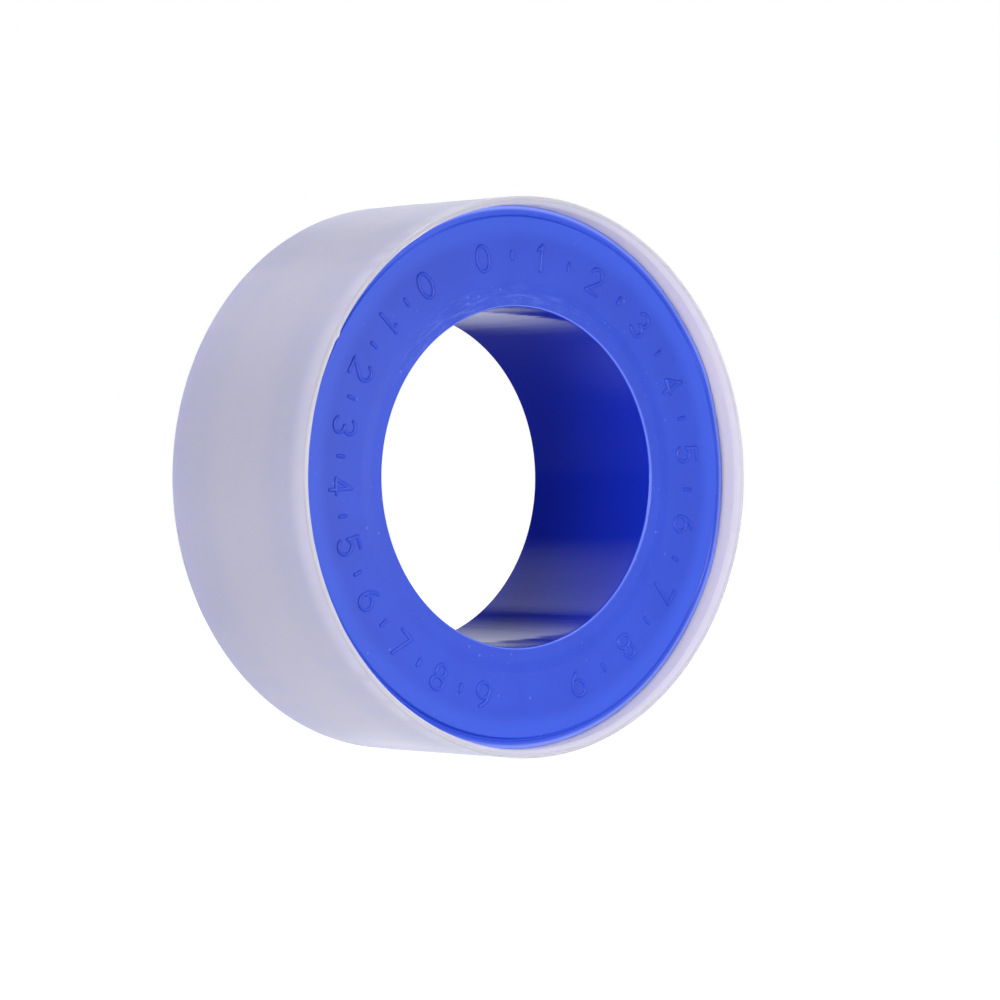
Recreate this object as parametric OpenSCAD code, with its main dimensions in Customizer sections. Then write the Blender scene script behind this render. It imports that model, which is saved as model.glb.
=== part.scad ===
// Thread seal tape roll: a blue flanged spool of white tape inside a translucent push-on cover.
// The roll's axis lies along Y, its blue flange faces -Y and the origin is the roll's centre.

/* [Tape] */
// Width of the tape
tape_w = 12; // [6:0.5:25]
// Thickness of one layer of tape
tape_t = 0.075; // [0.05:0.005:0.2]
// Length of the tape on the spool, in metres
tape_length = 10; // [3:0.5:25]
// Gap between the wound pack and its outermost turn
turn_gap = 0.08; // [0.04:0.01:0.2]
// Angle that the outermost turn covers
turn_angle = 345; // [270:1:355]
// Height that the free end lifts off the pack
tail_lift = 0.25; // [0:0.05:0.4]
// Angle over which the free end lifts
tail_angle = 35; // [10:1:60]

/* [Spool] */
// Diameter of the open bore
bore_d = 28; // [20:0.5:40]
// Wall of the hub tube
hub_wall = 1; // [0.8:0.1:2]
// Thickness of the front flange
flange_t = 1.2; // [1:0.1:2.5]
// Rounding of the flange's outer edges
flange_round = 0.1; // [0.05:0.05:0.25]
// Rounding where the flange turns into the bore
bore_round = 0.25; // [0.1:0.05:0.4]
// Width of the lowered border along the flange's outer edge
border_w = 0.75; // [0.4:0.05:1.5]
// Depth of the border below the flange's face
border_drop = 0.35; // [0.1:0.05:0.5]
// Width of the slope from the face down to the border
border_slope = 0.3; // [0.1:0.05:0.6]
// Rounding of that slope's top and foot
border_round = 0.1; // [0.05:0.01:0.12]
// Width of the raised land around the bore
land_w = 1.2; // [0.6:0.1:2.5]
// Height of the raised land around the bore
land_h = 0.08; // [0.02:0.01:0.2]
// Length of hub that stands out of the cover's back web
hub_proud = 0.3; // [0:0.05:0.8]
// Lead-in chamfer on the hub's back end
hub_chamfer = 0.3; // [0.1:0.05:0.4]
// Fillet between the hub and the flange, inside the roll
hub_fillet = 0.3; // [0.1:0.05:0.4]

/* [Cover] */
// Thickness of the outer wall
cover_wall = 0.6; // [0.5:0.05:1.5]
// Thickness of that wall at the front rim, where the mouth's lead-in ends
rim_t = 0.32; // [0.3:0.02:0.44]
// Thickness of the back web
web_t = 1.2; // [0.8:0.1:2.5]
// Depth of the recess behind the back web
back_recess = 1.8; // [0.6:0.1:4]
// Depth of the flange's face behind the front rim
face_recess = 1.85; // [1.6:0.05:4]
// Height of the snap bead inside the mouth
bead_h = 0.06; // [0.03:0.01:0.3]
// Depth of the bead's crest behind the front rim
bead_depth = 0.6; // [0.4:0.05:1.1]
// Rounding of the outer edge of the front rim
rim_round = 0.2; // [0.05:0.05:0.2]
// Rounding of the outer edge at the back
back_round = 0.35; // [0.1:0.05:0.35]
// Fillets where the web meets the wall
web_fillet = 0.4; // [0.1:0.05:0.5]
// Rounding of the small inner edges
edge_round = 0.1; // [0.05:0.01:0.12]
// Shrinkage of the wall's outside around the closed end, where the web pulls it in
end_shrink = 0.03; // [0.01:0.01:0.1]

/* [Clearances] */
// Radial gap between the hub and the hole in the back web
hub_gap = 0.08; // [0.03:0.01:0.1]
// Radial gap between the flange and the snap bead
flange_gap = 0.06; // [0.03:0.01:0.2]
// Room between the wound pack and the cover's wall
headroom = 0.85; // [0.7:0.05:2]
// Gap on each side of the tape
side_gap = 0.4; // [0.35:0.05:1]
// Gap between the hub and the innermost layer
wind_gap = 0.02; // [0.01:0.01:0.05]

/* [Hidden] */

// Radii, from the bore outwards
bore_r = bore_d / 2;
hub_r = bore_r + hub_wall;
web_hole_r = hub_r + hub_gap;
pack_in_r = hub_r + wind_gap;
tape_side_area = tape_length * 1000 * tape_t;
pack_r = sqrt(pack_in_r * pack_in_r + tape_side_area / PI);
cover_in_r = pack_r + headroom;
cover_r = cover_in_r + cover_wall;
bead_r = cover_in_r - bead_h;
flange_r = bead_r - flange_gap;
mouth_r = cover_r - rim_t;
turn_r = pack_r + turn_gap;

// Stations along the axis, from the front rim to the back, with the roll's middle at zero
roll_w = face_recess + flange_t + side_gap + tape_w + side_gap + web_t + back_recess;
front = roll_w / 2;
face = front - face_recess;
flange_back = face - flange_t;
tape_front = flange_back - side_gap;
tape_back = tape_front - tape_w;
web_in = tape_back - side_gap;
web_out = web_in - web_t;
back = web_out - back_recess;
hub_end = web_out - hub_proud;

// Snap bead: a lead-in cone in front of it, a short crest and a slope behind it
lead_in = atan((mouth_r - bead_r) / bead_depth);
bead_crest = 0.3;
bead_slope = 0.25;

// Colours of the plastics
cover_colour = [0.78, 0.78, 0.88, 0.6];
spool_colour = [0.16, 0.28, 0.86];
tape_colour = [0.97, 0.97, 0.98];

// Smoothness of the arcs and of the turned bodies
corner_steps = 6;
round_fn = 180;
turn_steps = 90;

// Points that round a corner p, whose two sides face the directions from and to: an arc that
// touches both sides. The radius is negative in an inside corner.
function facing(a) = [cos(a), sin(a)];
function corner(p, r, from, to) =
    let (centre = p - r * (facing(from) + facing(to)) / (1 + cos(to - from)))
    [for (i = [0:corner_steps]) centre + r * facing(from + (to - from) * i / corner_steps)];

// A turned body: the profile's x is the radius, and its y runs from the back to the front
module turned(profile) {
    rotate([90, 0, 0])
        rotate_extrude($fn = round_fn)
            polygon(profile);
}

// Profile of the cover: up the outside, over the mouth, down the inside and round the web
function cover_profile() = concat(
    corner([cover_r - end_shrink, back], back_round, -90, 0),
    [[cover_r - end_shrink, tape_back],
     [cover_r, tape_back + end_shrink]],
    corner([cover_r, front], rim_round, 0, 90),
    corner([mouth_r, front], edge_round, 90, 180 - lead_in),
    [[bead_r, front - bead_depth],
     [bead_r, front - bead_depth - bead_crest],
     [cover_in_r, front - bead_depth - bead_crest - bead_slope]],
    corner([cover_in_r, web_in], -web_fillet, 180, 90),
    corner([web_hole_r, web_in], edge_round, 90, 180),
    corner([web_hole_r, web_out], edge_round, 180, 270),
    corner([cover_in_r, web_out], -web_fillet, 270, 180),
    corner([cover_in_r, back], edge_round, 180, 270)
);

// Profile of the spool: down the bore, round the hub's end, up the outside and over the flange
land_r = bore_r + land_w;
border = face - border_drop;
border_in_r = flange_r - border_w;
slope_facing = atan(border_slope / border_drop);

function spool_profile() = concat(
    corner([bore_r, face + land_h], bore_round, 90, 180),
    corner([bore_r, hub_end], edge_round, 180, 270),
    [[hub_r - hub_chamfer, hub_end],
     [hub_r, hub_end + hub_chamfer]],
    corner([hub_r, flange_back], -hub_fillet, 0, -90),
    corner([flange_r, flange_back], flange_round, -90, 0),
    corner([flange_r, border], flange_round, 0, 90),
    corner([border_in_r, border], -border_round, 90, slope_facing),
    corner([border_in_r - border_slope, face], border_round, slope_facing, 90),
    [[land_r + land_h, face],
     [land_r, face + land_h]]
);

// Radius of the outermost turn's inner side at an angle: a spiral whose free end lifts off
function turn_in_r(a) =
    let (t = max(0, (a - (turn_angle - tail_angle)) / tail_angle))
    turn_r + tape_t * a / 360 + tail_lift * t * t;

turn_angles = [for (i = [0:turn_steps]) turn_angle * i / turn_steps];
turn_inside = [for (a = turn_angles) turn_in_r(a) * facing(a)];
turn_outside = [for (a = turn_angles) (turn_in_r(a) + tape_t) * facing(a)];
function reversed(list) = [for (i = [len(list) - 1:-1:0]) list[i]];

// Least gap of the turn to itself, from its first quarter to its last, on its points
quarter = floor(turn_steps / 4);
least_gap = min([
    for (i = [0:quarter], j = [turn_steps - quarter:turn_steps])
        norm(turn_inside[j] - turn_outside[i])]);
echo(outer_turn_least_gap_to_itself_mm = least_gap);
echo(outer_diameter_mm = 2 * cover_r, width_mm = roll_w, pack_diameter_mm = 2 * pack_r);

module cover() {
    color(cover_colour)
        turned(cover_profile());
}

module spool() {
    color(spool_colour)
        turned(spool_profile());
}

module tape_pack() {
    color(tape_colour)
        turned([
            [pack_in_r, tape_back],
            [pack_r, tape_back],
            [pack_r, tape_front],
            [pack_in_r, tape_front]]);
}

module tape_outer_turn() {
    color(tape_colour)
        rotate([90, 0, 0])
            translate([0, 0, tape_back])
                linear_extrude(height = tape_w)
                    polygon(concat(turn_inside, reversed(turn_outside)));
}

cover();
spool();
tape_pack();
tape_outer_turn();
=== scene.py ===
import math

import bmesh
import bpy
from mathutils import Matrix, Vector, noise


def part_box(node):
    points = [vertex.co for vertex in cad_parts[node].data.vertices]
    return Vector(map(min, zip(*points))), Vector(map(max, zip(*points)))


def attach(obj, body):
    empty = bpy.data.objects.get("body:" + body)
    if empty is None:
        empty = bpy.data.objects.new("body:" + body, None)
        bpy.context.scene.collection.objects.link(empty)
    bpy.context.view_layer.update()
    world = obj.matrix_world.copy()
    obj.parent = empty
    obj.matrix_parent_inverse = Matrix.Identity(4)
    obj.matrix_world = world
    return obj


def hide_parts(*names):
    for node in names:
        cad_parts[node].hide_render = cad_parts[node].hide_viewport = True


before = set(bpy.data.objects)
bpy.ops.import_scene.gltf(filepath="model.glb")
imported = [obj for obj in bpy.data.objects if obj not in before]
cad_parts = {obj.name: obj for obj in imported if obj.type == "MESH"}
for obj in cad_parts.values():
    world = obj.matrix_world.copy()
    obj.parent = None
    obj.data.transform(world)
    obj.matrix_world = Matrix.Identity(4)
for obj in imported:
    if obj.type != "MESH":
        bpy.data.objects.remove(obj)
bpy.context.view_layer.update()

# Lengths are in metres, apart from those inside the materials, which are in millimetres.
MM = 0.001

# Sizes that come from the frame. The roll's axis lies along Y, and the blue flange faces -Y. Places along
# the axis are 0 in the roll's middle and grow towards its front.
COVER_LOW, COVER_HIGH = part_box("cover")
SPOOL_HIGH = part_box("spool")[1]
PACK_LOW, PACK_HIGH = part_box("tape_pack")
COVER_R = COVER_HIGH.x
FRONT = COVER_HIGH.y
BACK = -FRONT
FLANGE_R = SPOOL_HIGH.x
PACK_R = PACK_HIGH.x
TAPE_FRONT = -PACK_LOW.y
TAPE_BACK = -PACK_HIGH.y
HUB_END = -SPOOL_HIGH.y

# Sizes of the cover that its box does not tell
COVER_WALL = 0.6 * MM
RIM_T = 0.32 * MM
WEB_T = 1.2 * MM
BACK_RECESS = 1.8 * MM
FACE_RECESS = 1.85 * MM
BEAD_H = 0.06 * MM
BEAD_DEPTH = 0.6 * MM
BEAD_CREST = 0.3 * MM
BEAD_SLOPE = 0.25 * MM
BEAD_EASE = 0.004 * MM
RIM_ROUND = 0.2 * MM
BACK_ROUND = 0.35 * MM
WEB_FILLET = 0.4 * MM
EDGE_ROUND = 0.1 * MM
END_SHRINK = 0.03 * MM
COVER_IN_R = COVER_R - COVER_WALL
BEAD_R = COVER_IN_R - BEAD_H
MOUTH_R = COVER_R - RIM_T
LEAD_IN = math.degrees(math.atan2(MOUTH_R - BEAD_R, BEAD_DEPTH))

# Sizes of the spool. Its flange reaches EDGE_REACH farther out than its box, and EDGE_FINE rounds the
# flange's front edge.
BORE_R = 14.0 * MM
HUB_R = 15.0 * MM
HUB_GAP = 0.08 * MM
WIND_GAP = 0.02 * MM
FLANGE_T = 1.2 * MM
FLANGE_ROUND = 0.1 * MM
EDGE_REACH = 0.045 * MM
EDGE_FINE = 0.03 * MM
BORE_ROUND = 0.25 * MM
BORDER_W = 0.75 * MM
BORDER_DROP = 0.35 * MM
BORDER_SLOPE = 0.13 * MM
BORDER_ROUND = 0.06 * MM
LAND_W = 1.2 * MM
LAND_H = 0.03 * MM
LAND_SLOPE = 0.9 * MM
GROOVE_W = 0.22 * MM
GROOVE_DEPTH = 0.07 * MM
HUB_CHAMFER = 0.3 * MM
HUB_FILLET = 0.3 * MM
WEB_HOLE_R = HUB_R + HUB_GAP
FACE = FRONT - FACE_RECESS
FLANGE_BACK = FACE - FLANGE_T
BORDER = FACE - BORDER_DROP
BORDER_IN_R = FLANGE_R - BORDER_W
SLOPE_FACING = math.degrees(math.atan2(BORDER_SLOPE, BORDER_DROP))
LAND_R = BORE_R + LAND_W
WEB_OUT = BACK + BACK_RECESS
WEB_IN = WEB_OUT + WEB_T
PACK_IN_R = HUB_R + WIND_GAP

# Unevenness round the ring: how far the mouth's inner edge wanders and ripples, and humps as (middle, half
# width, height) with angles in degrees. Their heights are millimetres by which that edge stands outwards,
# and the share of its depth by which the flange's border is raised.
LIP_WANDER = 0.025 * MM
LIP_RIPPLE = 0.02 * MM
MOUTH_BUMPS = [(121, 8, -0.17), (150.5, 1.2, -0.12), (235, 9, 0.05)]
BORDER_BUMPS = [(118, 72, 0.95), (212, 48, 0.9), (25, 14, 0.5), (-20, 18, 0.5)]

# Sizes of the tape. Two layers make one ridge on the sides of the pack.
TAPE_T = 0.075 * MM
RIDGES = 43
RIDGE_DEPTH = 0.05 * MM
RIDGE_WANDER = 0.08 * MM
PACK_WRINKLE = 0.02 * MM
TURN_WRINKLE = 0.012 * MM
TURN_INSET = 0.03 * MM
TURN_GAP = 0.08 * MM
TURN_ANGLE = 345
TAIL_ANGLE = 35
TAIL_LIFT = 0.25 * MM

# Raised numbers on the flange: their height, the radius of the circle that they lie on, half the width of
# their strokes, the strokes' section as shares of that half width and millimetres over the face, the
# angles of the steps in their round ends, the least cosine that a bend is mitred by, and where the two
# arcs begin and end. Angles are in degrees.
NUMBER_H = 2.1 * MM
NUMBER_R = 18.2 * MM
STROKE_W = 0.17 * MM
STROKE_LEFT = [(-1.0, -0.02), (-0.88, 0.05), (-0.55, 0.09)]
STROKE = STROKE_LEFT + [(0.0, 0.1)] + [(-offset, height) for offset, height in reversed(STROKE_LEFT)]
END_ANGLES = (30, 60, 82)
LEAST_MITRE = 0.5
LEFT_ARC = (122, 258)
RIGHT_ARC = (102, -70)

# Fineness of the meshes: steps round the ring and round a corner, how close to a corner its two
# neighbours lie, the shortest side that has them, the longest step along a side, the degrees between
# points of an oval stroke, and the angle from which an edge of a stroke looks sharp
SPOOL_SEGMENTS = 360
COVER_SEGMENTS = 720
PACK_SEGMENTS = 180
TURN_SEGMENTS = 240
ARC_STEPS = 6
SUPPORT = 0.02 * MM
SHORTEST_SIDE = 6 * SUPPORT
LONGEST_STEP = 3 * MM
OVAL_STEP = 15
SHARP_FROM = math.radians(50)
TINY = 1e-9

# The world: its level for diffuse light, its tint in mirrors, and what mirror rays see of it, as two
# directions and the levels there: from left to right, from the horizon upwards, and how far to the
# right that upper part reaches
AMBIENT = 0.05
WHITE = (1, 1, 1, 1)
GLOSS_TINT = (0.88, 0.91, 1.0, 1)
GLOSS_SIDES = (0.2, 0.5, 0.06, 1.0)
GLOSS_ABOVE = (0.38, 0.6, 0.0, 0.75)
GLOSS_LEFT = (0.08, 0.24, 1.0, 0.0)

# The floor: half its side, its level for the camera near the roll, how brightly it glows where the roll
# stands, around the roll and at its left, its level far away in mirrors from left to right, as two
# directions and the levels there, and how much light it throws back at the roll and to the camera
FLOOR_REACH = 3.0
FLOOR_SEEN = 0.86
FOOT_GLOW = 0.9
FLOOR_GLOW = 0.74
SIDE_GLOW = 0.38
FLOOR_SIDES = (0.38, 0.52, 0.04, 1.0)
FLOOR_SHARES = (0.1, 0.3)

# Lamps: name, azimuth and elevation in degrees, distance and size in metres, level, seen in mirrors
LAMPS = [
    ("key", 9, 5, 0.3, 0.08, 0.45, True),
    ("sheen", 30, 0, 0.3, 0.08, 0.125, True),
    ("left", -78, 3, 0.55, 0.34, 1.06, True),
    ("top", 90, 80, 0.7, 0.3, 0.6, True),
    ("right", 90, 15, 0.7, 0.5, 0.8, False),
    ("back", 180, 3, 0.9, 0.2, 0.9, False),
]

# The photograph's camera, fitted to the edges of the roll in it
PHOTO_SIDE = 1000
FOCAL_PX = 4485
SENSOR_WIDTH = 36
CLIP_START = 0.02
CAMERA_AZIMUTH = math.radians(-38.2)
CAMERA_DISTANCE = 15.95 * COVER_R
RIM_RIGHT = 0.1187 * COVER_R
RIM_UP = 0.0813 * COVER_R


# Shapes of the pieces

def clamped(value):
    return min(1.0, max(0.0, value))


def corner(point, radius, start, end):
    """An arc that rounds a corner, whose two sides face the directions start and end in degrees.

    The radius is negative in an inside corner.
    """
    a, b = math.radians(start), math.radians(end)
    reach = radius / (1 + math.cos(b - a))
    centre_r = point[0] - reach * (math.cos(a) + math.cos(b))
    centre_f = point[1] - reach * (math.sin(a) + math.sin(b))
    found = []
    for i in range(ARC_STEPS + 1):
        t = a + (b - a) * i / ARC_STEPS
        found.append((centre_r + radius * math.cos(t), centre_f + radius * math.sin(t)))
    return found


def supported(profile):
    """The closed profile with points close to each corner and along each long side."""
    found = []
    for (r0, f0), (r1, f1) in zip(profile, profile[1:] + profile[:1]):
        length = math.hypot(r1 - r0, f1 - f0)
        if length < TINY:
            continue
        found.append((r0, f0))
        if length < SHORTEST_SIDE:
            continue
        inner = length - 2 * SUPPORT
        count = max(1, math.ceil(inner / LONGEST_STEP))
        for i in range(count + 1):
            t = (SUPPORT + inner * i / count) / length
            found.append((r0 + (r1 - r0) * t, f0 + (f1 - f0) * t))
    return found


def mesh_object(name, verts, faces):
    mesh = bpy.data.meshes.new(name)
    mesh.from_pydata(verts, [], faces)
    mesh.validate()
    mesh.polygons.foreach_set("use_smooth", [True] * len(mesh.polygons))
    made = bpy.data.objects.new(name, mesh)
    bpy.context.scene.collection.objects.link(made)
    return made


def face_outwards(made):
    shape = bmesh.new()
    shape.from_mesh(made.data)
    bmesh.ops.recalc_face_normals(shape, faces=shape.faces)
    shape.to_mesh(made.data)
    shape.free()


def turned(name, points, segments, wobble):
    """A closed profile of (radius, place along the axis) turned about Y; wobble shifts its points."""
    count = len(points)
    verts = []
    for i in range(segments):
        angle = 2 * math.pi * i / segments
        for j, (r, f) in enumerate(points):
            r, f = wobble(r, f, angle, j)
            verts.append((r * math.cos(angle), -f, r * math.sin(angle)))
    faces = []
    for i in range(segments):
        a, b = i * count, (i + 1) % segments * count
        for j in range(count):
            k = (j + 1) % count
            faces.append((a + j, a + k, b + k, b + j))
    made = mesh_object(name, verts, faces)
    face_outwards(made)
    return made


def ring_noise(angle, detail, row):
    """Smooth noise that runs round a ring and meets itself, from -1 to 1; each row has its own."""
    return noise.noise(Vector((detail * math.cos(angle), detail * math.sin(angle), row)))


def bumps_at(angle, bumps):
    """The sum at an angle of smooth humps, each with its middle, half width and height."""
    total = 0.0
    for middle, half_width, height in bumps:
        away = (math.degrees(angle) - middle + 180) % 360 - 180
        t = clamped(1 - abs(away) / half_width)
        total += height * t**2 * (3 - 2 * t)
    return total


def cover_profile():
    """Up the outside, over the mouth, down the inside and round the web."""
    return (
        corner((COVER_R - END_SHRINK, BACK), BACK_ROUND, -90, 0)
        + [(COVER_R - END_SHRINK, TAPE_BACK), (COVER_R, TAPE_BACK + END_SHRINK)]
        + corner((COVER_R, FRONT), RIM_ROUND, 0, 90)
        + corner((MOUTH_R, FRONT), EDGE_ROUND, 90, 180 - LEAD_IN)
        + [
            (BEAD_R, FRONT - BEAD_DEPTH),
            (BEAD_R, FRONT - BEAD_DEPTH - BEAD_CREST),
            (BEAD_R + BEAD_EASE, FRONT - BEAD_DEPTH - BEAD_CREST - BEAD_SLOPE),
            (BEAD_R + BEAD_EASE, FLANGE_BACK),
            (COVER_IN_R, FLANGE_BACK - BEAD_SLOPE),
        ]
        + corner((COVER_IN_R, WEB_IN), -WEB_FILLET, 180, 90)
        + corner((WEB_HOLE_R, WEB_IN), EDGE_ROUND, 90, 180)
        + corner((WEB_HOLE_R, WEB_OUT), EDGE_ROUND, 180, 270)
        + corner((COVER_IN_R, WEB_OUT), -WEB_FILLET, 270, 180)
        + corner((COVER_IN_R, BACK), EDGE_ROUND, 180, 270)
    )


def uneven_lip(r, f, angle, j):
    """The mouth's inner edge as moulded: flash stands in at two places and the rest wanders."""
    depth = clamped((f - FRONT + BEAD_DEPTH) / BEAD_DEPTH)
    side = clamped((COVER_R - r) / (COVER_R - MOUTH_R))
    wander = LIP_WANDER * ring_noise(angle, 4.0, 0.3) + LIP_RIPPLE * ring_noise(angle, 14.0, 5.1)
    shift = wander + bumps_at(angle, MOUTH_BUMPS) * MM
    return r + shift * depth * side, f


def cover_shell():
    return turned("cover_shell", supported(cover_profile()), COVER_SEGMENTS, uneven_lip)


def spool_profile():
    """Down the bore, round the hub's end, up the outside and over the flange."""
    return (
        corner((BORE_R, FACE + LAND_H), BORE_ROUND, 90, 180)
        + corner((BORE_R, HUB_END), EDGE_ROUND, 180, 270)
        + [(HUB_R - HUB_CHAMFER, HUB_END), (HUB_R, HUB_END + HUB_CHAMFER)]
        + corner((HUB_R, FLANGE_BACK), -HUB_FILLET, 0, -90)
        + corner((FLANGE_R, FLANGE_BACK), FLANGE_ROUND, -90, 0)
        + corner((FLANGE_R, BORDER), EDGE_FINE, 0, 90)
        + [
            (BORDER_IN_R + GROOVE_W, BORDER),
            (BORDER_IN_R + GROOVE_W / 2, BORDER - GROOVE_DEPTH),
            (BORDER_IN_R, BORDER - GROOVE_DEPTH),
        ]
        + corner((BORDER_IN_R - BORDER_SLOPE, FACE), BORDER_ROUND, SLOPE_FACING, 90)
        + [(LAND_R + LAND_SLOPE, FACE), (LAND_R, FACE + LAND_H)]
    )


def uneven_border(r, f, angle, j):
    """The border is shallower in places, and the flange's edge comes close to the cover's wall."""
    on_border = r >= BORDER_IN_R - BORDER_SLOPE and f >= BORDER - GROOVE_DEPTH - TINY
    if not on_border:
        at_rim = r > FLANGE_R - TINY
        return r + EDGE_REACH * at_rim, f
    reach = EDGE_REACH * clamped((r - FLANGE_R + FLANGE_ROUND) / FLANGE_ROUND)
    return r + reach, f + (FACE - f) * bumps_at(angle, BORDER_BUMPS)


def spool_body():
    return turned("spool_body", supported(spool_profile()), SPOOL_SEGMENTS, uneven_border)


def wound_tape():
    """The wound pack. Its sides show the edges of the layers, a little out of line with each other."""
    pitch = (PACK_R - PACK_IN_R) / RIDGES
    rising = []
    for k in range(RIDGES):
        rising.append((PACK_IN_R + k * pitch, RIDGE_DEPTH))
        rising.append((PACK_IN_R + (k + 0.5) * pitch, 0.0))
    across = 12
    outside = []
    for i in range(1, across):
        outside.append((PACK_R, TAPE_BACK + (TAPE_FRONT - TAPE_BACK) * i / across))
    back_side = [(r, TAPE_BACK + depth) for r, depth in rising]
    front_side = [(r, TAPE_FRONT - depth) for r, depth in reversed(rising)]
    points = back_side + outside + front_side

    def uneven(r, f, angle, j):
        if j < len(rising):
            ridge = j // 2
            side = 1
        elif j >= len(rising) + len(outside):
            ridge = (len(points) - 1 - j) // 2
            side = -1
        else:
            return r - PACK_WRINKLE * (1 + ring_noise(angle, 9.0, f / MM * 0.25)), f
        wander = 0.5 + 0.5 * ring_noise(angle, 1.3, ridge * 1.7 + side)
        return r, f + side * RIDGE_WANDER * clamped(wander)

    return turned("wound_tape", points, PACK_SEGMENTS, uneven)


def outer_turn():
    """The outermost turn: a strip that follows the pack and lifts off at its free end."""
    steps = TURN_SEGMENTS
    across = 8
    start_r = PACK_R + TURN_GAP
    verts = []
    for i in range(steps + 1):
        degrees = TURN_ANGLE * i / steps
        lift = max(0.0, (degrees - TURN_ANGLE + TAIL_ANGLE) / TAIL_ANGLE)
        r = start_r + TAPE_T * degrees / 360 + TAIL_LIFT * lift**2
        a = math.radians(degrees)
        inset = TURN_INSET * (1 + ring_noise(a, 5.0, 2.2))
        for side in (0, TAPE_T):
            for j in range(across + 1):
                f = TAPE_BACK + inset + (TAPE_FRONT - TAPE_BACK - 2 * inset) * j / across
                here = r + side + TURN_WRINKLE * ring_noise(a, 12.0, f / MM * 0.3)
                verts.append((here * math.cos(a), -f, here * math.sin(a)))
    row = across + 1
    ring = 2 * row
    faces = []
    for i in range(steps):
        a, b = i * ring, (i + 1) * ring
        for j in range(across):
            faces.append((a + j, a + j + 1, b + j + 1, b + j))
            faces.append((a + row + j, b + row + j, b + row + j + 1, a + row + j + 1))
        for j in (0, across):
            faces.append((a + j, b + j, b + row + j, a + row + j))
    for a in (0, steps * ring):
        for j in range(across):
            faces.append((a + j, a + row + j, a + row + j + 1, a + j + 1))
    made = mesh_object("outer_turn_of_tape", verts, faces)
    face_outwards(made)
    return made


# Raised numbers

def oval(x, y, half_w, half_h, start=0, end=360):
    """Points along an oval, between two angles in degrees."""
    count = math.ceil(abs(end - start) / OVAL_STEP)
    found = []
    for i in range(count + 1):
        t = math.radians(start + (end - start) * i / count)
        found.append((x + half_w * math.cos(t), y + half_h * math.sin(t)))
    return found


# Strokes of the digits 0 to 9, in a box that is 1 high and 0.6 wide
DIGITS = [
    [oval(0, 0.5, 0.3, 0.5)],
    [[(-0.15, 0.8), (0.05, 1)], [(0.05, 1), (0.05, 0)]],
    [oval(0, 0.7, 0.3, 0.3, 160, -35) + [(-0.3, 0)], [(-0.3, 0), (0.3, 0)]],
    [oval(-0.02, 0.74, 0.27, 0.26, 150, -90), oval(-0.02, 0.25, 0.3, 0.25, 90, -150)],
    [[(0.12, 0), (0.12, 1)], [(0.12, 1), (-0.3, 0.3)], [(-0.3, 0.3), (0.3, 0.3)]],
    [[(0.25, 1), (-0.2, 1)], [(-0.2, 1), (-0.23, 0.526)], oval(0, 0.32, 0.3, 0.32, 140, -150)],
    [oval(0, 0.3, 0.3, 0.3), oval(0.35, 0.35, 0.65, 0.65, 180, 115)],
    [[(-0.3, 1), (0.3, 1)], [(0.3, 1), (-0.08, 0)]],
    [oval(0, 0.75, 0.24, 0.25), oval(0, 0.25, 0.3, 0.25)],
    [oval(0, 0.7, 0.3, 0.3), oval(-0.35, 0.65, 0.65, 0.65, 0, -65)],
]
TICK = [[(0, 0.36), (0, 0.64)]]


def round_end(ring, outward):
    """The rings by which a stroke narrows to its round end, from the last full one outwards."""
    point, across = ring[:2]
    along = Vector((across.y, -across.x)) * outward
    found = []
    for degrees in END_ANGLES:
        a = math.radians(degrees)
        found.append((point + along * STROKE_W * math.sin(a), across, math.cos(a), math.cos(a)))
    return found


def stroke_rings(path):
    """The rings along a stroke in the digit's plane, and whether it is closed.

    A ring is its middle, its direction across the stroke and its scales in width and height.
    """
    points = [Vector(p) * NUMBER_H for p in path]
    closed = (points[0] - points[-1]).length < TINY
    if closed:
        points = points[:-1]
    count = len(points)
    rings = []
    for i, point in enumerate(points):
        before = points[i - 1] if closed or i else None
        after = points[(i + 1) % count] if closed or i < count - 1 else None
        into = (point - before).normalized() if before else (after - point).normalized()
        onward = (after - point).normalized() if after else into
        along = (into + onward).normalized()
        across = Vector((-along.y, along.x))
        rings.append((point, across, 1 / max(LEAST_MITRE, along.dot(into)), 1.0))
    if closed:
        return rings, True
    return round_end(rings[0], -1)[::-1] + rings + round_end(rings[-1], 1), False


def stroke_mesh(path, place):
    """A raised stroke with round ends, as vertices and faces; place puts it on the flange."""
    rings, closed = stroke_rings(path)
    verts = []
    for middle, across, wide, high in rings:
        for offset, height in STROKE:
            at = middle + across * STROKE_W * offset * wide
            verts.append(place(at.x, at.y, height * MM * (high if height > 0 else 1)))
    size = len(STROKE)
    count = len(rings)
    faces = []
    for i in range(count if closed else count - 1):
        a, b = i * size, (i + 1) % count * size
        for j in range(size):
            k = (j + 1) % size
            faces.append((a + j, a + k, b + k, b + j))
    if not closed:
        faces.append(tuple(range(size)))
        faces.append(tuple(range((count - 1) * size, count * size)))
    return verts, faces


def united(parts):
    """The mesh of several closed shapes joined into one, without the faces inside it."""
    objects = []
    for verts, faces in parts:
        made = mesh_object("stroke", verts, faces)
        face_outwards(made)
        objects.append(made)
    whole = objects[0]
    for other in objects[1:]:
        union = whole.modifiers.new("union", "BOOLEAN")
        union.operation = "UNION"
        union.solver = "EXACT"
        union.object = other
        bpy.context.view_layer.update()
        shape = whole.evaluated_get(bpy.context.evaluated_depsgraph_get())
        mesh = bpy.data.meshes.new_from_object(shape)
        whole.modifiers.clear()
        whole.data = mesh
    found = [tuple(v.co) for v in whole.data.vertices], [tuple(f.vertices) for f in whole.data.polygons]
    for made in objects:
        bpy.data.objects.remove(made)
    return found


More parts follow.
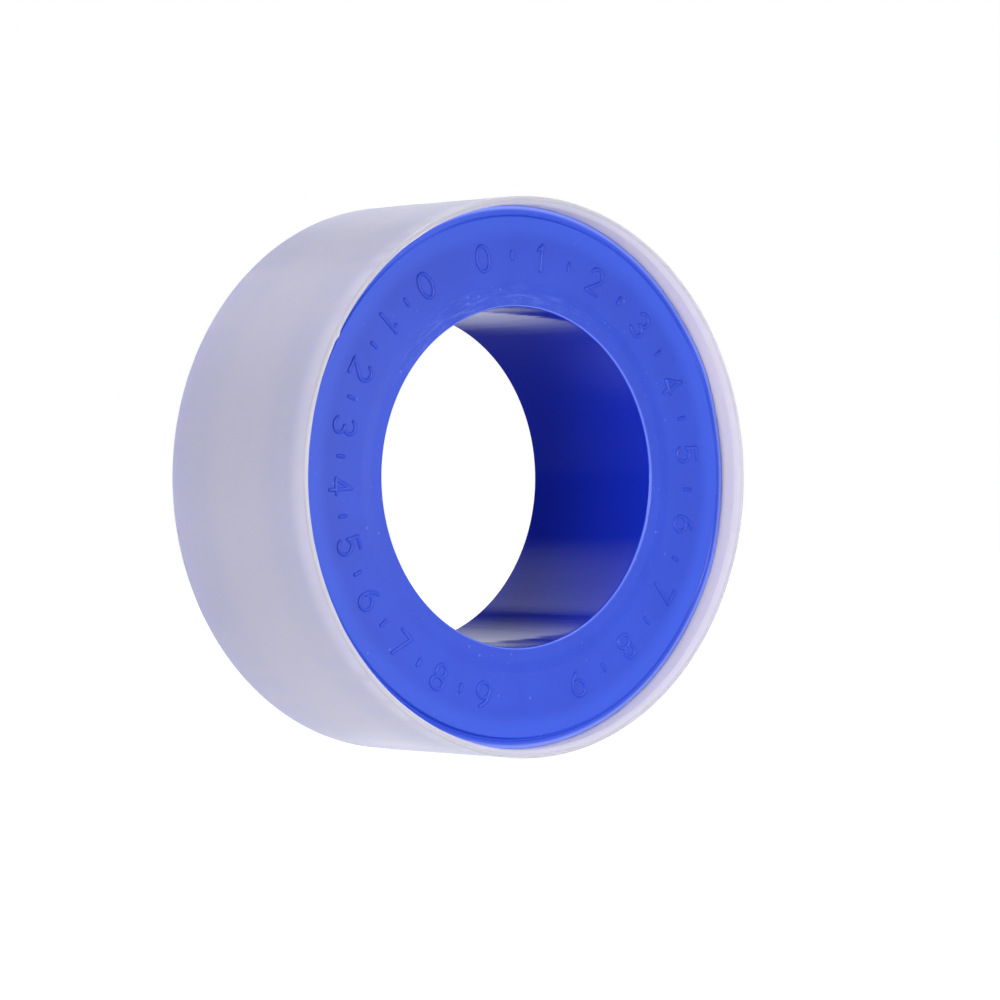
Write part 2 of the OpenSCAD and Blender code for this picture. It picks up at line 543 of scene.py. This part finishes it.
def number_places():
    """Each digit or tick with its ring angle and whether its top points outwards."""
    found = []
    count = 2 * len(DIGITS) - 1
    for (first, last), outwards in ((LEFT_ARC, False), (RIGHT_ARC, True)):
        step = (last - first) / (count - 1)
        for i in range(count):
            strokes = TICK if i % 2 else DIGITS[i // 2]
            found.append((strokes, math.radians(first + step * i), outwards))
    return found


def raised_numbers():
    """Plain digits with ticks between them, in two arcs on the flange's face."""
    verts = []
    faces = []
    for strokes, angle, outwards in number_places():
        out = Vector((math.cos(angle), 0, math.sin(angle)))
        round_it = Vector((-math.sin(angle), 0, math.cos(angle)))
        up = out if outwards else -out
        right = -round_it if outwards else round_it
        foot = out * NUMBER_R - up * NUMBER_H / 2

        def place(x, y, height, foot=foot, right=right, up=up):
            at = foot + right * x + up * y
            return (at.x, -(FACE + height), at.z)

        new_verts, new_faces = united([stroke_mesh(path, place) for path in strokes])
        base = len(verts)
        verts += new_verts
        faces += [tuple(base + v for v in f) for f in new_faces]
    made = mesh_object("raised_numbers", verts, faces)
    face_outwards(made)
    made.data.set_sharp_from_angle(angle=SHARP_FROM)
    return made


# Materials

def new_material(name):
    made = bpy.data.materials.new(name)
    made.use_nodes = True
    made.node_tree.nodes.clear()
    return made


class Nodes:
    """Short calls for building a node tree."""

    def __init__(self, tree):
        self.tree = tree

    def add(self, kind, inputs=None, **settings):
        node = self.tree.nodes.new(kind)
        for key, value in settings.items():
            setattr(node, key, value)
        for key, value in (inputs or {}).items():
            self.put(node, key, value)
        return node

    def put(self, node, key, value):
        socket = node.inputs[key]
        if isinstance(value, bpy.types.NodeSocket):
            self.tree.links.new(value, socket)
        else:
            socket.default_value = value

    def math(self, operation, a, b=0.0, c=0.0):
        return self.add("ShaderNodeMath", {0: a, 1: b, 2: c}, operation=operation).outputs[0]

    def times(self, a, b):
        return self.math("MULTIPLY", a, b)

    def larger(self, a, b):
        return self.math("MAXIMUM", a, b)

    def ramp(self, value, low, high, out_low=0.0, out_high=1.0):
        """A smooth step: out_low where the value is low, and out_high where it is high."""
        inputs = {"Value": value, "From Min": low, "From Max": high}
        inputs.update({"To Min": out_low, "To Max": out_high})
        node = self.add("ShaderNodeMapRange", inputs, interpolation_type="SMOOTHSTEP")
        return node.outputs["Result"]

    def mix(self, factor, a, b):
        """The colour a where the factor is 0, and b where it is 1."""
        node = self.add("ShaderNodeMix", data_type="RGBA")
        for key, value in ((0, factor), (6, a), (7, b)):
            self.put(node, key, value)
        return node.outputs[2]

    def noise(self, vector, scale, detail=2.0, roughness=0.5):
        inputs = {"Vector": vector, "Scale": scale, "Detail": detail, "Roughness": roughness}
        return self.add("ShaderNodeTexNoise", inputs).outputs["Fac"]

    def length(self, vector):
        return self.add("ShaderNodeVectorMath", {0: vector}, operation="LENGTH").outputs["Value"]

    def combine(self, x=0.0, y=0.0, z=0.0):
        return self.add("ShaderNodeCombineXYZ", {"X": x, "Y": y, "Z": z}).outputs[0]

    def place(self):
        """Object coordinates in millimetres, their X, Y and Z, and the radius from the roll's axis."""
        metres = self.add("ShaderNodeTexCoord").outputs["Object"]
        scaled = self.add("ShaderNodeVectorMath", {0: metres, "Scale": 1 / MM}, operation="SCALE")
        where = scaled.outputs[0]
        axes = self.add("ShaderNodeSeparateXYZ", {0: where}).outputs
        radius = self.length(self.combine(x=axes["X"], z=axes["Z"]))
        return where, axes["X"], axes["Y"], axes["Z"], radius

    def specks(self, where, scale, size, share):
        """Small round specks in a share of the cells of a grid, 1 in their middle."""
        cells = self.add("ShaderNodeTexVoronoi", {"Vector": where, "Scale": scale})
        chance = self.add("ShaderNodeSeparateColor", {0: cells.outputs["Color"]}).outputs[0]
        round_spot = self.ramp(cells.outputs["Distance"], size * scale, 0.3 * size * scale)
        chosen = self.math("LESS_THAN", chance, share)
        return self.times(round_spot, chosen)

    def bump(self, height, strength, distance):
        inputs = {"Strength": strength, "Distance": distance, "Height": height}
        return self.add("ShaderNodeBump", inputs).outputs[0]

    def principled(self, inputs):
        self.output(self.add("ShaderNodeBsdfPrincipled", inputs).outputs[0])

    def output(self, shader):
        self.add("ShaderNodeOutputMaterial", {"Surface": shader})


def behind_front(depth):
    """The Y in millimetres of a place that lies so many millimetres behind the front rim."""
    return -FRONT / MM + depth


def cover_material():
    """Milky lavender plastic, painted lighter towards the rim and in the mouth for light shining through,
    with faint flow lines painted stronger near its top and bottom as reflection streaks.
    """
    made = new_material("cover_milky_plastic")
    n = Nodes(made.node_tree)
    where, x, y, z, radius = n.place()
    lavender = (0.55, 0.55, 0.735, 1)
    greyer = (0.60, 0.585, 0.725, 1)
    axial_streaks = (0.59, 0.575, 0.725, 1)
    pale = (0.67, 0.655, 0.78, 1)
    clear = (0.82, 0.775, 0.76, 1)
    lead_in = (0.73, 0.70, 0.74, 1)
    edge = (0.52, 0.51, 0.56, 1)
    mouth = MOUTH_R / MM
    cone = BEAD_DEPTH / MM
    near_rim = n.ramp(y, behind_front(2.6), behind_front(0.8))
    in_recess = n.ramp(y, behind_front(3.4), behind_front(2.2))
    in_mouth = n.times(in_recess, n.ramp(radius, mouth + 0.02, mouth - 0.12))
    on_edge = n.ramp(y, behind_front(0.35), behind_front(0.1))
    on_cone = n.ramp(y, behind_front(cone + 0.06), behind_front(cone - 0.08))
    over_tape = n.ramp(n.math("ABSOLUTE", y), 2.0, 5.0, 0.8, 0.0)
    streaks = n.noise(n.combine(x, n.times(y, 0.04), z), 0.55, 3.0)
    colour = n.mix(over_tape, lavender, greyer)
    # Painted light: the outer wall turns paler towards the rim, standing in for light shining through the
    # thin mouth.
    colour = n.mix(near_rim, colour, pale)
    # Faint grey flow lines all round, painted stronger near the top and bottom as a painted reflection of
    # streaks: partly real, partly painted reflection.
    reflection_streak_band = n.ramp(n.math("ABSOLUTE", z), 10, 17, 0.2, 0.75)
    flow_lines_and_reflection_streaks = n.times(n.ramp(streaks, 0.35, 0.65), reflection_streak_band)
    colour = n.mix(flow_lines_and_reflection_streaks, colour, axial_streaks)
    # Painted shade: the front rim is painted darker, to tone down its lamp highlight.
    colour = n.mix(on_edge, colour, edge)
    # Painted light: the mouth's inner band and lead-in cone are painted lighter, standing in for light
    # shining through the thin wall.
    colour = n.mix(in_mouth, colour, n.mix(on_cone, clear, lead_in))
    grain = n.noise(where, 1.6, 3.0)
    height = n.math("ADD", n.times(grain, 0.3), streaks)
    roughness = n.math("MULTIPLY_ADD", in_mouth, 0.35, n.ramp(streaks, 0.35, 0.65, 0.29, 0.35))
    n.principled(
        {
            "Base Color": colour,
            "Roughness": roughness,
            "IOR": 1.49,
            "Specular IOR Level": 0.35,
            "Subsurface Weight": 1.0,
            "Subsurface Radius": (1.0, 1.0, 1.2),
            "Subsurface Scale": 0.7 * MM,
            "Normal": n.bump(height, 0.15, 0.02 * MM),
        }
    )
    return made


def spool_material():
    """Blue plastic: satin on the face and glossy in the bore, with dust that is thicker by the bore."""
    made = new_material("spool_blue_plastic")
    n = Nodes(made.node_tree)
    where, x, y, z, radius = n.place()
    blue = (0.018, 0.066, 0.63, 1)
    deep = (0.016, 0.058, 0.59, 1)
    lighter = (0.032, 0.10, 0.74, 1)
    rim_light_blue = (0.26, 0.35, 1.0, 1)
    bore_blue = (0.008, 0.032, 0.60, 1)
    bore_edge = (0.16, 0.25, 0.95, 1)
    white_frost = (0.16, 0.27, 0.88, 1)
    dust = (0.10, 0.18, 0.80, 1)
    bore = BORE_R / MM
    rim = FLANGE_R / MM
    colour = n.mix(n.ramp(n.noise(where, 0.22, 3.0), 0.35, 0.65), blue, deep)
    in_bore = n.ramp(radius, bore + 0.25, bore + 0.05)
    on_face = n.math("SUBTRACT", 1.0, in_bore)
    # Painted light: the face turns a lighter blue towards its rim, for light shining through the cover's
    # mouth.
    colour = n.mix(n.ramp(radius, rim - 3, rim - 1.5, 0.0, 0.7), colour, lighter)
    # Painted light: the flange's outer edge is painted a pale blue, standing in for light through the
    # cover that lifts the shade in the crease there.
    colour = n.mix(n.ramp(radius, rim - 0.4, rim - 0.12, 0.0, 0.9), colour, rim_light_blue)
    # The bore is painted a darker, deeper blue than the face: painted shade inside the bore, and the
    # face's lighter tone stands for its satin sheen.
    colour = n.mix(in_bore, colour, bore_blue)
    # Painted highlight: a thin bright ring on the bore's front edge.
    edge = n.times(n.ramp(radius, bore + 0.01, bore + 0.06), n.ramp(radius, bore + 0.2, bore + 0.1))
    colour = n.mix(n.times(edge, 0.9), colour, bore_edge)
    upper = n.math("MULTIPLY_ADD", z, 0.97, n.times(x, -0.26))
    near_bore = n.ramp(radius, bore + 2.6, bore + 0.3)
    frosted = n.times(n.times(n.ramp(upper, 9.0, 15.0), near_bore), on_face)
    round_it = n.times(n.math("ARCTAN2", z, x), 5.0)
    scuffs = n.noise(n.combine(round_it, n.times(radius, 2.2)), 1.6, 5.0, 0.62)
    frost = n.times(n.ramp(scuffs, 0.46, 0.72, 0.0, 0.42), frosted)
    colour = n.mix(frost, colour, white_frost)
    share = n.ramp(radius, bore + 3, bore + 0.3, 0.12, 0.45)
    specks = n.larger(n.specks(where, 0.9, 0.16, share), n.specks(where, 1.7, 0.09, share))
    colour = n.mix(n.times(n.times(specks, on_face), 0.7), colour, dust)
    streaks = n.noise(n.combine(x, n.times(y, 0.05), z), 1.1, 4.0)
    grain = n.noise(where, 2.5, 4.0)
    axial_streaks = n.times(streaks, n.times(in_bore, 7.0))
    height = n.math("ADD", n.times(grain, on_face), axial_streaks)
    n.principled(
        {
            "Base Color": colour,
            "Roughness": n.ramp(in_bore, 0.0, 1.0, 0.36, 0.07),
            "IOR": 1.49,
            "Specular IOR Level": 0.3,
            "Normal": n.bump(height, 0.2, 0.015 * MM),
        }
    )
    return made


def tape_material():
    """Soft white film whose sides show fine rings from the layers."""
    made = new_material("tape_white_film")
    n = Nodes(made.node_tree)
    _, x, y, z, radius = n.place()
    white = (0.93, 0.93, 0.94, 1)
    shade = (0.84, 0.84, 0.86, 1)
    layers = n.noise(n.combine(x=radius), 9.0, 3.0)
    stretch = n.noise(n.combine(n.times(x, 0.3), y, n.times(z, 0.3)), 1.5, 3.0)
    colour = n.mix(n.ramp(layers, 0.35, 0.65), shade, white)
    n.principled(
        {
            "Base Color": colour,
            "Roughness": n.ramp(stretch, 0.2, 0.8, 0.5, 0.62),
            "IOR": 1.38,
            "Subsurface Weight": 0.4,
            "Subsurface Radius": (1.0, 1.0, 1.0),
            "Subsurface Scale": 0.3 * MM,
            "Normal": n.bump(stretch, 0.25, 0.03 * MM),
        }
    )
    return made


# The roll's pieces, the floor, the world, the lamps and the camera

def add_piece(made, body, slot, material, *nodes):
    """Gives a mesh its material and body, in place of the frame's nodes that it replaces. Its slot is not
    used.
    """
    made.data.materials.append(material)
    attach(made, body)
    if nodes:
        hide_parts(*nodes)


def ray_kinds(n):
    """Two masks: 1 for mirror and see-through rays, and 1 for camera rays."""
    path = n.add("ShaderNodeLightPath").outputs
    return n.larger(path["Is Glossy Ray"], path["Is Transmission Ray"]), path["Is Camera Ray"]


def add_floor():
    """A white floor that keeps the roll's soft shadow and melts into the white background.

    The distances in it are millimetres from the roll's middle.
    """
    made = new_material("floor_white")
    n = Nodes(made.node_tree)
    where, x, y, _, _ = n.place()
    away = n.length(where)
    gloss, camera = ray_kinds(n)

    # What the camera sees, and what mirrors see of the floor at the roll's foot and far away
    seen = n.times(camera, n.ramp(away, 60, 220, FLOOR_SEEN, 1.0))
    at_foot = n.times(n.ramp(n.math("ABSOLUTE", x), 6.5, 9, 1.0, 0.0), n.ramp(away, 28, 42, 1.0, 0.0))
    far = n.times(n.ramp(away, 40, 90), n.ramp(n.math("DIVIDE", x, away), *FLOOR_SIDES))
    mirrored = n.times(gloss, n.larger(at_foot, far))

    # The glow that lights the roll from below: all around it, at its foot, in front and at its left
    around = n.ramp(away, 24, 50, FLOOR_GLOW, 0.02)
    foot = n.ramp(away, 24, 28, FOOT_GLOW, 0.0)
    in_front = n.times(n.ramp(y, -5, -25), n.ramp(away, 60, 160, FLOOR_GLOW, 0.0))
    at_left = n.times(n.ramp(x, -18, -32), n.ramp(away, 60, 130, SIDE_GLOW, 0.0))
    at_left = n.times(at_left, n.math("SUBTRACT", 1.0, gloss))
    glow = n.larger(n.larger(around, foot), n.larger(in_front, at_left))

    strength = n.larger(n.larger(seen, mirrored), glow)
    diffuse = n.add("ShaderNodeBsdfDiffuse", {"Color": n.ramp(camera, 0.0, 1.0, *FLOOR_SHARES)})
    tint = n.mix(gloss, WHITE, GLOSS_TINT)
    light = n.add("ShaderNodeEmission", {"Color": tint, "Strength": strength})
    both = n.add("ShaderNodeAddShader", {0: diffuse.outputs[0], 1: light.outputs[0]})
    n.output(both.outputs[0])
    corners = [(-1, -1), (1, -1), (1, 1), (-1, 1)]
    verts = [(FLOOR_REACH * a, FLOOR_REACH * b, COVER_LOW.z) for a, b in corners]
    floor = mesh_object("floor", verts, [(0, 1, 2, 3)])
    floor.data.materials.append(made)


def add_world():
    """White for the camera, dim for diffuse light, and dark at the roll's left for mirror rays."""
    world = bpy.data.worlds.new("studio")
    world.use_nodes = True
    world.node_tree.nodes.clear()
    bpy.context.scene.world = world
    n = Nodes(world.node_tree)
    gloss, camera = ray_kinds(n)
    towards = n.add("ShaderNodeTexCoord").outputs["Generated"]
    side = n.add("ShaderNodeSeparateXYZ", {0: towards}).outputs
    above = n.times(n.ramp(side["Z"], *GLOSS_ABOVE), n.ramp(side["X"], *GLOSS_LEFT))
    mirrored = n.times(gloss, n.larger(n.ramp(side["X"], *GLOSS_SIDES), above))
    neither = n.math("SUBTRACT", n.math("SUBTRACT", 1.0, camera), gloss)
    strength = n.math("MULTIPLY_ADD", neither, AMBIENT, n.math("ADD", camera, mirrored))
    tint = n.mix(gloss, WHITE, GLOSS_TINT)
    back = n.add("ShaderNodeBackground", {"Color": tint, "Strength": strength})
    n.add("ShaderNodeOutputWorld", {"Surface": back.outputs[0]})


def add_lamp(name, azimuth, elevation, distance, size, level, mirrored):
    """A square area lamp that looks at the roll from that direction, in degrees.

    Its level is how brightly a white surface that faces it looks.
    """
    a, e = math.radians(azimuth), math.radians(elevation)
    out = Vector((math.sin(a) * math.cos(e), -math.cos(a) * math.cos(e), math.sin(e)))
    data = bpy.data.lights.new(name, "AREA")
    data.size = size
    data.energy = level * math.pi**2 * distance**2
    lamp = bpy.data.objects.new(name, data)
    lamp.visible_glossy = mirrored
    bpy.context.scene.collection.objects.link(lamp)
    lamp.location = out * distance
    lamp.rotation_euler = out.to_track_quat("Z", "Y").to_euler()


def add_camera():
    """The photograph's camera, level, placed from where it sees the middle of the front rim."""
    right = Vector((math.cos(CAMERA_AZIMUTH), math.sin(CAMERA_AZIMUTH), 0))
    back = Vector((math.sin(CAMERA_AZIMUTH), -math.cos(CAMERA_AZIMUTH), 0))
    up = Vector((0, 0, 1))
    data = bpy.data.cameras.new("camera")
    data.sensor_width = SENSOR_WIDTH
    data.lens = FOCAL_PX / PHOTO_SIDE * SENSOR_WIDTH
    data.clip_start = CLIP_START
    camera = bpy.data.objects.new("camera", data)
    bpy.context.scene.collection.objects.link(camera)
    rim = Vector((0, -FRONT, 0))
    place = rim - right * RIM_RIGHT - up * RIM_UP + back * CAMERA_DISTANCE
    turn = Matrix((right, up, back)).transposed()
    camera.matrix_world = Matrix.LocRotScale(place, turn.to_quaternion(), None)
    bpy.context.scene.camera = camera


cover_plastic = cover_material()
spool_plastic = spool_material()
tape_film = tape_material()
add_piece(cover_shell(), "cover", "cover_plastic", cover_plastic, "cover")
add_piece(spool_body(), "spool", "spool_plastic", spool_plastic, "spool")
add_piece(raised_numbers(), "spool", "spool_plastic", spool_plastic)
add_piece(wound_tape(), "spool", "tape_film", tape_film, "tape_pack")
add_piece(outer_turn(), "outer_turn", "tape_film", tape_film, "tape_outer_turn")

add_floor()
add_world()
for lamp in LAMPS:
    add_lamp(*lamp)
add_camera()
bpy.context.scene.view_settings.view_transform = "Standard"
